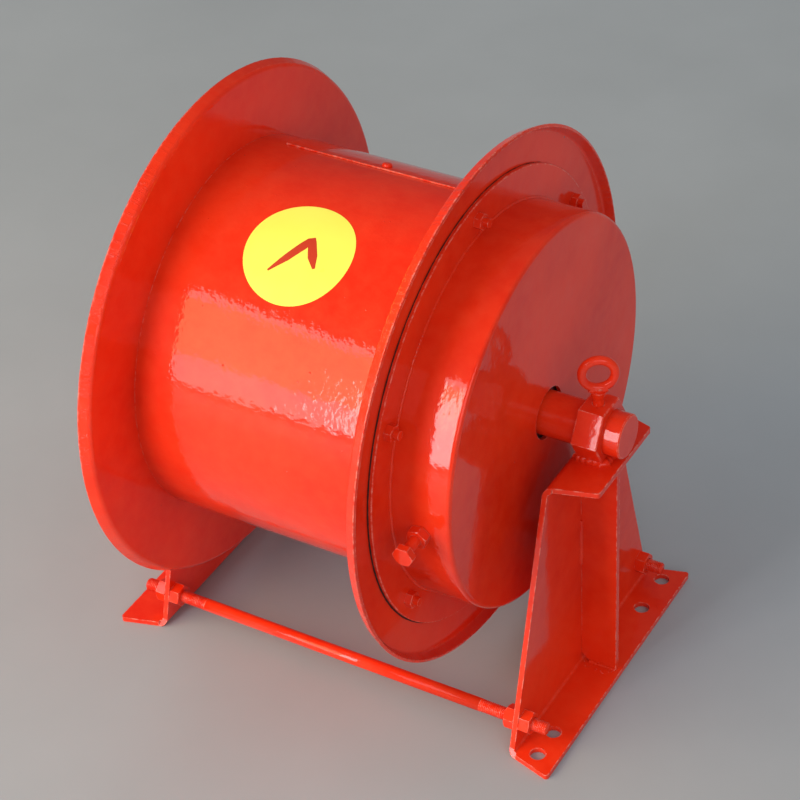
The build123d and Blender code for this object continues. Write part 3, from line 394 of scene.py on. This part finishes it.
# The shaft blocks: short lengths of hexagon bar welded on the ledges, drilled from above for an eye bolt
# that locks the shaft. The eye bolts are forged, with a shoulder where the ring runs into the shank.
block_enamel = red_enamel("block_enamel", peel=0.9, soften=0.0009, chips=0.3)
finish_with(block_enamel, "left_shaft_block", "right_shaft_block", "left_eye_bolt", "right_eye_bolt", "shaft")
eye_height, eye_turn, eye_ring = 0.333, math.radians(32), 0.0155
for side, sign in (("left", -1), ("right", 1)):
    arc = []
    for step in range(-8, 9):
        angle = math.radians(step * 3.5)
        reach = eye_ring * math.sin(angle)
        arc.append((sign * 0.202 + reach * math.cos(eye_turn), reach * math.sin(eye_turn),
                    eye_height - eye_ring * math.cos(angle)))
    neck = [(sign * 0.202, 0.0, 0.3165 - 0.001 * step) for step in range(10)]
    build_piece(bead_tree, f"{side}_eye_shoulder", "frame", open_path("shoulder", arc), weld_enamel,
                bead_radius=0.0042, ripple_pitch=0.0100, ripple=0.05, lumps=0.0020, lump_size=0.0040, seed=sign * 5.3)
    build_piece(bead_tree, f"{side}_eye_neck", "frame", open_path("neck", neck), weld_enamel,
                bead_radius=0.0076, ripple_pitch=0.0200, ripple=0.04, taper=0.34, lumps=0.0026, lump_size=0.0034,
                seed=sign * 6.1)

# The tie rods: M12 bars across the front and back, threaded at both ends for a pair of nuts at each bracket.
# The thread ends a little way inside the inner nuts, and its grooves are half filled with paint.
thread_tree, given = start_tree("threaded_bar", ["Bar radius", "Bar length", "Thread length", "Pitch", "Depth", "Chamfer"])
turns = calculate(thread_tree, "DIVIDE", given["Thread length"], given["Pitch"])
steps = calculate(thread_tree, "MULTIPLY", turns, 8.0)
end = add_node(thread_tree, "GeometryNodeMeshCylinder", {"Vertices": 40, "Side Segments": steps,
                                                         "Radius": given["Bar radius"], "Depth": given["Thread length"]})
place = add_node(thread_tree, "ShaderNodeSeparateXYZ", {0: add_node(thread_tree, "GeometryNodeInputPosition").outputs[0]})
x, y, z = (place.outputs[axis] for axis in "XYZ")
start = calculate(thread_tree, "ADD", z, calculate(thread_tree, "MULTIPLY", given["Thread length"], 0.5))
turn = calculate(thread_tree, "DIVIDE", calculate(thread_tree, "ARCTAN2", y, x), math.tau)
phase = calculate(thread_tree, "FRACT", calculate(thread_tree, "SUBTRACT", calculate(thread_tree, "DIVIDE", start, given["Pitch"]), turn))
groove = calculate(thread_tree, "ABSOLUTE", calculate(thread_tree, "SUBTRACT", calculate(thread_tree, "MULTIPLY", phase, 2.0), 1.0))
fade = add_node(thread_tree, "ShaderNodeMapRange", {"Value": start, "From Min": 0.0, "From Max": 0.004}).outputs[0]
cut = calculate(thread_tree, "MULTIPLY", calculate(thread_tree, "MULTIPLY", groove, fade), given["Depth"])
to_tip = calculate(thread_tree, "SUBTRACT", given["Thread length"], start)
bevelled = calculate(thread_tree, "ADD", calculate(thread_tree, "SUBTRACT", given["Bar radius"], given["Chamfer"]), to_tip)
radius = calculate(thread_tree, "MINIMUM", calculate(thread_tree, "SUBTRACT", given["Bar radius"], cut), bevelled)
share = calculate(thread_tree, "DIVIDE", radius, given["Bar radius"])
shaped = add_node(thread_tree, "ShaderNodeCombineXYZ", {"X": calculate(thread_tree, "MULTIPLY", x, share),
                                                        "Y": calculate(thread_tree, "MULTIPLY", y, share), "Z": z})
end = add_node(thread_tree, "GeometryNodeSetPosition", {"Geometry": end.outputs["Mesh"], "Position": shaped.outputs[0]})
reach = calculate(thread_tree, "MULTIPLY", calculate(thread_tree, "SUBTRACT", given["Bar length"], given["Thread length"]), 0.5)
to_right = add_node(thread_tree, "ShaderNodeCombineXYZ", {"X": reach})
to_left = add_node(thread_tree, "ShaderNodeCombineXYZ", {"X": calculate(thread_tree, "MULTIPLY", reach, -1.0)})
right_end = add_node(thread_tree, "GeometryNodeTransform", {"Geometry": end.outputs[0], "Translation": to_right.outputs[0],
                                                            "Rotation": (0.0, math.pi / 2, 0.0)})
left_end = add_node(thread_tree, "GeometryNodeTransform", {"Geometry": end.outputs[0], "Translation": to_left.outputs[0],
                                                           "Rotation": (0.0, -math.pi / 2, 0.0)})
middle = add_node(thread_tree, "GeometryNodeMeshCylinder", {
    "Vertices": 40, "Radius": given["Bar radius"],
    "Depth": calculate(thread_tree, "SUBTRACT", given["Bar length"], calculate(thread_tree, "MULTIPLY", given["Thread length"], 2.0))})
middle = add_node(thread_tree, "GeometryNodeTransform", {"Geometry": middle.outputs["Mesh"],
                                                         "Rotation": (0.0, math.pi / 2, 0.0)})
bar = add_node(thread_tree, "GeometryNodeJoinGeometry")
for piece in (right_end, left_end, middle):
    thread_tree.links.new(piece.outputs[0], bar.inputs[0])
spot = add_node(thread_tree, "GeometryNodeInputPosition").outputs[0]
centre = add_node(thread_tree, "GeometryNodeSampleIndex", {"Geometry": given["Path"], "Value": spot, "Index": 0},
                  data_type="FLOAT_VECTOR", domain="POINT")
bar = add_node(thread_tree, "GeometryNodeTransform", {"Geometry": bar.outputs[0], "Translation": centre.outputs[0]})
end_tree(thread_tree, bar.outputs[0], given["Material"])

rod_enamel = red_enamel("rod_enamel", peel=0.8, soften=0.0003, edge_width=0.0006)
nut_enamel = red_enamel("nut_enamel", peel=0.8, soften=0.0006, edge_width=0.0010, chips=0.2)
finish_with(nut_enamel, "tie_rod_nuts")
for name, sign in (("front", -1), ("rear", 1)):
    low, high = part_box(f"{name}_tie_rod")
    rod = build_piece(thread_tree, f"{name}_threaded_rod", "frame", mesh_of("centre", [(low + high) / 2]), rod_enamel,
                      bar_radius=0.006, bar_length=high.x - low.x, thread_length=0.066, pitch=0.00175, depth=0.0011,
                      chamfer=0.0012)
    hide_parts(f"{name}_tie_rod")

# The drum: a rolled barrel between two pressed flanges with turned-out lips. The rims get knocked when the
# reel is rolled or dropped, so they show tick marks across the lip and chips down to the primer.
rim_enamel = red_enamel("rim_enamel", chips=1.0, wrinkles=1.0, soften=0.0009)
barrel_enamel = red_enamel("barrel_enamel", peel=1.8)
finish_with(rim_enamel, "left_flange", "right_flange")
finish_with(barrel_enamel, "barrel", "access_cover", "bearing_cap")

# The round yellow label on the barrel: printed vinyl with one red tick, laid over the fresh paint.
label_x, label_turn, label_radius, label_lift = -0.036, math.radians(116.0), 0.049, 0.00018
barrel_radius = 0.1727
label_yellow = bpy.data.materials.new("label_yellow")
label_yellow.use_nodes = True
tree = label_yellow.node_tree
place = add_node(tree, "ShaderNodeTexCoord").outputs["Object"]
cloud = add_node(tree, "ShaderNodeTexNoise", {"Vector": place, "Scale": 30.0, "Detail": 4.0})
tone = add_node(tree, "ShaderNodeMix", {0: cloud.outputs["Fac"], 6: (0.93, 0.84, 0.085, 1.0), 7: (0.98, 0.92, 0.12, 1.0)},
                data_type="RGBA")
surface = tree.nodes["Principled BSDF"]
tree.links.new(tone.outputs[2], surface.inputs["Base Color"])
grain = add_node(tree, "ShaderNodeTexNoise", {"Vector": place, "Scale": 160.0, "Detail": 3.0})
bump = add_node(tree, "ShaderNodeBump", {"Height": grain.outputs["Fac"], "Strength": 1.0, "Distance": 0.00004})
tree.links.new(bump.outputs[0], surface.inputs["Normal"])
haze = add_node(tree, "ShaderNodeMapRange", {"Value": cloud.outputs["Fac"], "To Min": 0.22, "To Max": 0.38})
tree.links.new(haze.outputs[0], surface.inputs["Roughness"])
label_red = label_yellow.copy()
label_red.name = "label_red"
for node in label_red.node_tree.nodes:
    if node.bl_idname == "ShaderNodeMix":
        node.inputs[6].default_value = (0.50, 0.035, 0.010, 1.0)
        node.inputs[7].default_value = (0.62, 0.050, 0.015, 1.0)


def on_barrel(across, round_it, lift):
    """A point of the label: its distance along the shaft and round the barrel from the label's middle."""
    turn = label_turn + round_it / barrel_radius
    radius = barrel_radius + lift
    return (label_x + across, radius * math.cos(turn), 0.276 + radius * math.sin(turn))


rings, spokes = 14, 96
points = [on_barrel(0.0, 0.0, label_lift)]
for ring in range(1, rings + 1):
    reach = label_radius * ring / rings
    for spoke in range(spokes):
        angle = math.tau * spoke / spokes
        points.append(on_barrel(reach * math.cos(angle), reach * math.sin(angle), label_lift))
for spoke in range(spokes):
    angle = math.tau * spoke / spokes
    points.append(on_barrel(label_radius * math.cos(angle), label_radius * math.sin(angle), 0.00002))
faces = [(0, 1 + spoke, 1 + (spoke + 1) % spokes) for spoke in range(spokes)]
for ring in range(rings):
    inner = 1 + ring * spokes
    for spoke in range(spokes):
        after = (spoke + 1) % spokes
        faces.append((inner + spoke, inner + spokes + spoke, inner + spokes + after, inner + after))
faces.append(tuple(range(1 + rings * spokes, 1 + (rings + 1) * spokes)))
label = bpy.data.objects.new("label", mesh_of("label", points, (), [face[::-1] for face in faces]))
label.data.materials.append(label_yellow)
label.data.shade_smooth()
label.data.set_sharp_from_angle(angle=math.radians(40))
scene.collection.objects.link(label)
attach(label, "drum")

stroke = [(0.020, 0.011, 0.0012), (0.014, 0.001, 0.0042), (0.006, -0.014, 0.0036), (0.001, -0.006, 0.0040),
          (-0.008, 0.008, 0.0034), (-0.019, 0.023, 0.0009)]
points, faces = [], []
fine_stroke = []
for (x0, y0, w0), (x1, y1, w1) in zip(stroke, stroke[1:]):
    fine_stroke += [(x0 + (x1 - x0) * i / 6, y0 + (y1 - y0) * i / 6, w0 + (w1 - w0) * i / 6) for i in range(6)]
fine_stroke.append(stroke[-1])
for index, (across, round_it, width) in enumerate(fine_stroke):
    before = fine_stroke[max(index - 1, 0)]
    after = fine_stroke[min(index + 1, len(fine_stroke) - 1)]
    run = Vector((after[0] - before[0], after[1] - before[1])).normalized()
    for sway in (-1.0, -0.5, 0.0, 0.5, 1.0):
        points.append(on_barrel(across - run.y * width * sway, round_it + run.x * width * sway, label_lift + 0.00006))
for index in range(len(fine_stroke) - 1):
    for lane in range(4):
        first = index * 5 + lane
        faces.append((first, first + 5, first + 6, first + 1))
tick = bpy.data.objects.new("label_tick", mesh_of("label_tick", points, (), faces))
tick.data.materials.append(label_red)
scene.collection.objects.link(tick)
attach(tick, "drum")

# The spring end: a ring plate bolted to the right flange and the round box of the spring, welded on it.
# The weld at the box's foot is thin. The one round its end is ground down and left rough.
box_enamel = red_enamel("box_enamel", peel=1.2, soften=0.0005, chips=0.4)
finish_with(box_enamel, "spring_plate", "spring_box")
finish_with(nut_enamel, "cover_screws", "plate_bolts", "plate_nuts", "anchor_bolt", "anchor_nut", "hub_bolts", "post_nut")
build_piece(bead_tree, "box_foot_weld", "drum", ring_path("seam", 0.1003, 0.1755), weld_enamel, bead_radius=0.0014,
            ripple_pitch=0.0034, ripple=0.10, lumps=0.0016, lump_size=0.0040, seed=2.2)
build_piece(bead_tree, "box_end_weld", "drum", ring_path("seam", 0.1531, 0.1733), weld_enamel, bead_radius=0.0012,
            ripple_pitch=0.0028, ripple=0.10, lumps=0.0013, lump_size=0.0018, seed=2.9)

# A thin dark bead round the front edge of the plate, where it meets the flange, is a painted shadow of the gap there.
painted_gap_shadow = bpy.data.materials.new("painted_gap_shadow")
painted_gap_shadow.use_nodes = True
tree = painted_gap_shadow.node_tree
place = add_node(tree, "ShaderNodeTexCoord").outputs["Object"]
shadow_noise = add_node(tree, "ShaderNodeTexNoise", {"Vector": place, "Scale": 260.0, "Detail": 5.0})
# Near-black matt colours for the painted shadow in the gap.
tone = add_node(tree, "ShaderNodeMix", {0: shadow_noise.outputs["Fac"], 6: (0.004, 0.003, 0.003, 1.0), 7: (0.06, 0.012, 0.008, 1.0)},
                data_type="RGBA")
surface = tree.nodes["Principled BSDF"]
tree.links.new(tone.outputs[2], surface.inputs["Base Color"])
shadow_bump = add_node(tree, "ShaderNodeBump", {"Height": shadow_noise.outputs["Fac"], "Distance": 0.0002})
tree.links.new(shadow_bump.outputs[0], surface.inputs["Normal"])
matt = add_node(tree, "ShaderNodeMapRange", {"Value": shadow_noise.outputs["Fac"], "To Min": 0.7, "To Max": 0.95})
tree.links.new(matt.outputs[0], surface.inputs["Roughness"])
# The painted shadow runs only round the front part of the plate's edge.
gap_turns = [math.radians(262 - 2 * step) for step in range(102)]
gap_path = open_path("gap", [(0.0969, 0.2053 * math.cos(turn), 0.276 + 0.2053 * math.sin(turn)) for turn in gap_turns])
build_piece(bead_tree, "plate_gap_shadow", "drum", gap_path, painted_gap_shadow, bead_radius=0.0009, ripple_pitch=0.0300, ripple=0.05,
            taper=0.85, lumps=0.0006, lump_size=0.0060, seed=8.1)


# Inside: bearings, hubs, the spiral spring, the slip rings and their brushes. They show only when it is opened.
def plain_metal(name, dark, light, roughness, metallic, scale):
    """Bare metal or moulding, with turning marks or grain of its own colour and relief."""
    material = bpy.data.materials.new(name)
    material.use_nodes = True
    tree = material.node_tree
    surface = tree.nodes["Principled BSDF"]
    place = add_node(tree, "ShaderNodeTexCoord").outputs["Object"]
    stretch = add_node(tree, "ShaderNodeMapping", {"Vector": place, "Scale": scale})
    marks = add_node(tree, "ShaderNodeTexNoise", {"Vector": stretch.outputs[0], "Scale": 1.0, "Detail": 5.0})
    tone = add_node(tree, "ShaderNodeMix", {0: marks.outputs["Fac"], 6: (*dark, 1.0), 7: (*light, 1.0)}, data_type="RGBA")
    tree.links.new(tone.outputs[2], surface.inputs["Base Color"])
    worn = add_node(tree, "ShaderNodeMapRange", {"Value": marks.outputs["Fac"], "To Min": roughness - 0.1,
                                                 "To Max": roughness + 0.1})
    tree.links.new(worn.outputs[0], surface.inputs["Roughness"])
    bump = add_node(tree, "ShaderNodeBump", {"Height": marks.outputs["Fac"], "Distance": 0.00003})
    tree.links.new(bump.outputs[0], surface.inputs["Normal"])
    surface.inputs["Metallic"].default_value = metallic
    return material


inner_finishes = {
    "machined_steel": plain_metal("machined_steel", (0.42, 0.42, 0.43), (0.60, 0.60, 0.61), 0.35, 1.0, (1500, 60, 60)),
    "bearing_steel": plain_metal("bearing_steel", (0.62, 0.62, 0.64), (0.76, 0.76, 0.78), 0.20, 1.0, (900, 80, 80)),
    "spring_steel": plain_metal("spring_steel", (0.12, 0.13, 0.17), (0.26, 0.28, 0.34), 0.35, 1.0, (60, 400, 400)),
    "brass": plain_metal("brass", (0.62, 0.43, 0.17), (0.82, 0.62, 0.28), 0.30, 1.0, (1500, 60, 60)),
    "insulation": plain_metal("insulation", (0.26, 0.13, 0.05), (0.38, 0.20, 0.085), 0.50, 0.0, (150, 150, 150)),
    "carbon": plain_metal("carbon", (0.025, 0.025, 0.028), (0.06, 0.06, 0.065), 0.60, 0.0, (500, 500, 500)),
    "black_rubber": plain_metal("black_rubber", (0.015, 0.015, 0.015), (0.04, 0.04, 0.04), 0.65, 0.0, (400, 400, 400)),
}
for subpart in frame["record"]["subparts"]:
    if subpart["material_slot"] in inner_finishes:
        finish_with(inner_finishes[subpart["material_slot"]], subpart["node"])

low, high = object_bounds()
